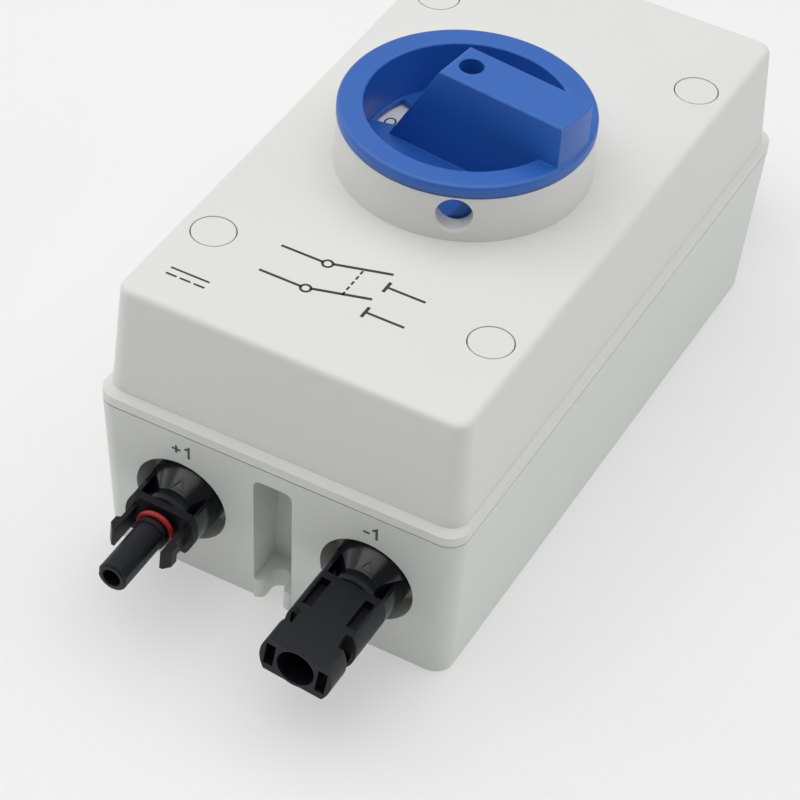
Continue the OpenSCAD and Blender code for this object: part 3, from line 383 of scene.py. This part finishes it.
def add_end_marks(end, end_name):
    """Signs over the recesses of one end and the raised triangles on its connectors' cones."""
    face = end_face(end)
    stroke = 0.62
    figure_h = 3.3
    plus_u, plus_v, plus_reach = end * 25.3, 38.3, 1.15
    plus_figure = digit_one(plus_u + 3.3, plus_v - 1.7, figure_h)
    add_mark(end_name + "_plus_mark",
             [level(plus_u, plus_v, plus_reach, stroke),
              upright(plus_u, plus_v, plus_reach, stroke),
              (plus_figure, stroke, False)],
             face, ink, "housing_body")
    minus_u, minus_v, minus_reach = -end * 24.1, 37.7, 0.85
    minus_figure = digit_one(minus_u + 2.6, minus_v - 1.3, figure_h)
    add_mark(end_name + "_minus_mark",
             [level(minus_u, minus_v, minus_reach, stroke),
              (minus_figure, stroke, False)],
             face, ink, "housing_body")
    ridge_w, ridge_h = 0.45, 0.3
    ridge_u, ridge_v, half_w, half_l = 0.4, 4.25, 1.45, 1.25
    for pole, mount_name, roll in (("_plus", "_plus_tube", -3), ("_minus", "_minus_bore", -7)):
        outline = triangle(ridge_u, ridge_v, half_w, half_l)
        add_mark(end_name + pole + "_triangle", [(outline, ridge_w, True)],
                 cone_face(end_name + mount_name, roll), LOOKS["connector_plastic"],
                 "housing_body", ridge_h)


def add_dial_marks():
    """An oval seen through the window at OFF and a line seen through it at ON."""
    face = flat_top(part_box("dial_plate")[1][2] / MM)
    off_u, off_v, off_half_w, off_half_l, off_stroke = -20.7, 2.0, 1.25, 1.55, 0.42
    add_mark("off_mark", [(oval(off_u, off_v, off_half_w, off_half_l), off_stroke, True)],
             face, dark_ink, "housing_body")
    on_start, on_stop, on_stroke = (1.6, 19.2), (2.2, 22.2), 0.45
    add_mark("on_mark", [line(on_start, on_stop, on_stroke)],
             face, dark_ink, "housing_body")


def add_isolator_symbol(face):
    """Two switched poles, one above the other, joined by a dashed line."""
    poles_v = (-50.5, -60.5)
    left_u, right_u, wire_w = -20, 17, 0.7
    hinge_u, hinge_r, ring_w = -8, 1.2, 0.6
    blade_w, foot_u, foot_rise, tip_u, tip_rise = 0.8, -6.9, 0.5, 6.4, 4.6
    contact_u, contact_reach, contact_wire_u = 7.2, 1.9, 7.6
    dash_top, dash, dash_pitch, dash_w, dashes = -48.5, 1.3, 2.1, 0.5, 5
    strokes = []
    for v in poles_v:
        strokes.append(line((left_u, v), (hinge_u - hinge_r, v), wire_w))
        strokes.append((oval(hinge_u, v, hinge_r, hinge_r, count=24), ring_w, True))
        strokes.append(line((foot_u, v + foot_rise), (tip_u, v + tip_rise), blade_w))
        strokes.append(upright(contact_u, v, contact_reach, blade_w))
        strokes.append(line((contact_wire_u, v), (right_u, v), wire_w))
    for k in range(dashes):
        top = dash_top - dash_pitch * k
        strokes.append(line((0, top), (0, top - dash), dash_w))
    add_mark("isolator_symbol", strokes, face, dark_ink, "housing_body")


def add_direct_current_symbol(face):
    """A long line over three dashes."""
    left, top, length, stroke = -37, -70.4, 10, 0.55
    gap, dash, dash_pitch, dashes = 2.2, 2.8, 3.6, 3
    strokes = [line((left, top), (left + length, top), stroke)]
    for k in range(dashes):
        start = left + dash_pitch * k
        strokes.append(line((start, top - gap), (start + dash, top - gap), stroke))
    add_mark("direct_current_symbol", strokes, face, dark_ink, "housing_body")


LID_TOP_Z = 75.5    # millimetres

add_end_marks(-1, "front")
add_end_marks(1, "rear")
add_dial_marks()
add_isolator_symbol(flat_top(LID_TOP_Z))
add_direct_current_symbol(flat_top(LID_TOP_Z))


# ---------------------------------------------------------------- stage, lights and camera

FLOOR_REACH = 3.0
FLOOR_DROP = 0.3 * MM
FLOOR_GLOW = 0.33
SURROUND = 0.45
SURROUND_BEHIND_CAMERA = 0.12
TOWARD_CAMERA = Vector((0.5, -0.8, 0.25))
DIM_STARTS, DIM_ENDS = 0.35, 0.85    # cosine of the angle from TOWARD_CAMERA
AIM = Vector((0, 0, 0.05))
# name, place, side of the square panel, watts
PANELS = (
    ("overhead", (0, 0, 1.7), 2.6, 25),
    ("left", (-1.4, 0.1, 0.9), 1.2, 4.6),
    ("front_left", (-0.9, -1.2, 0.5), 1.0, 0.9),
    ("right", (1.4, 0.5, 0.6), 1.2, 2.8),
)


def make_floor():
    """Pale paper a little below the switch, which glows slightly so that shadows stay soft."""
    look = Look("paper floor")
    wash = look.noise(180 * MM, 3)
    fibres = look.noise(1.5 * MM, 4)
    paper = srgb(196, 196, 196)
    base = look.mix(look.span(wash, 0, 1), tint(paper, 0.985), tint(paper, 1.0))
    look.plug(look.shader.inputs["Base Color"], base)
    look.plug(look.shader.inputs["Roughness"], look.span(fibres, 0.6, 0.7))
    look.shader.inputs["Emission Color"].default_value = (1, 1, 1, 1)
    look.shader.inputs["Emission Strength"].default_value = FLOOR_GLOW
    look.bump([(fibres, 0.01 * MM)])
    mesh = bpy.data.meshes.new("floor")
    corners = [(-FLOOR_REACH, -FLOOR_REACH, 0), (FLOOR_REACH, -FLOOR_REACH, 0),
               (FLOOR_REACH, FLOOR_REACH, 0), (-FLOOR_REACH, FLOOR_REACH, 0)]
    mesh.from_pydata(corners, [], [(0, 1, 2, 3)])
    floor = bpy.data.objects.new("floor", mesh)
    floor.location.z = -FLOOR_DROP
    floor.data.materials.append(look.material)
    scene.collection.objects.link(floor)


def add_light(name, place, side, watts):
    """Square white panel that faces the switch."""
    light = bpy.data.lights.new(name, "AREA")
    light.shape = "RECTANGLE"
    light.size = side
    light.size_y = side
    light.energy = watts
    lamp = bpy.data.objects.new(name, light)
    lamp.location = place
    lamp.rotation_euler = (AIM - Vector(place)).to_track_quat("-Z", "Y").to_euler()
    scene.collection.objects.link(lamp)


def make_camera():
    """Long lens over the front right corner, rolled a little, looking down at the switch."""
    yaw, pitch, roll = math.radians(25.36), math.radians(42.40), math.radians(4.65)
    forward = Vector((-math.sin(yaw) * math.cos(pitch), math.cos(yaw) * math.cos(pitch),
                      -math.sin(pitch)))
    flat_right = Vector((math.cos(yaw), math.sin(yaw), 0))
    steep_up = flat_right.cross(forward)
    right = flat_right * math.cos(roll) + steep_up * math.sin(roll)
    up = steep_up * math.cos(roll) - flat_right * math.sin(roll)
    camera = bpy.data.objects.new("camera", bpy.data.cameras.new("camera"))
    camera.data.sensor_width = 36
    camera.data.lens = 141.84
    camera.data.clip_start = 0.01
    turn = Matrix((right, up, -forward)).transposed().to_4x4()
    camera.matrix_world = Matrix.Translation((0.24146, -0.53320, 0.53178)) @ turn
    scene.collection.objects.link(camera)
    scene.camera = camera


def make_world():
    """Even white surround that is dim behind the camera."""
    world = bpy.data.worlds.new("studio")
    world.use_nodes = True
    tree = world.node_tree
    back = tree.nodes["Background"]
    back.inputs["Color"].default_value = (1, 1, 1, 1)
    facing = tree.nodes.new("ShaderNodeVectorMath")
    facing.operation = "DOT_PRODUCT"
    facing.inputs[1].default_value = TOWARD_CAMERA.normalized()
    tree.links.new(tree.nodes.new("ShaderNodeTexCoord").outputs["Generated"], facing.inputs[0])
    dimmed = tree.nodes.new("ShaderNodeMapRange")
    dimmed.interpolation_type = "SMOOTHSTEP"
    for key, value in (("From Min", DIM_STARTS), ("From Max", DIM_ENDS),
                       ("To Min", SURROUND), ("To Max", SURROUND_BEHIND_CAMERA)):
        dimmed.inputs[key].default_value = value
    tree.links.new(facing.outputs["Value"], dimmed.inputs["Value"])
    tree.links.new(dimmed.outputs["Result"], back.inputs["Strength"])
    scene.world = world


make_world()
scene.view_settings.view_transform = "Standard"
make_floor()
for panel in PANELS:
    add_light(*panel)
make_camera()
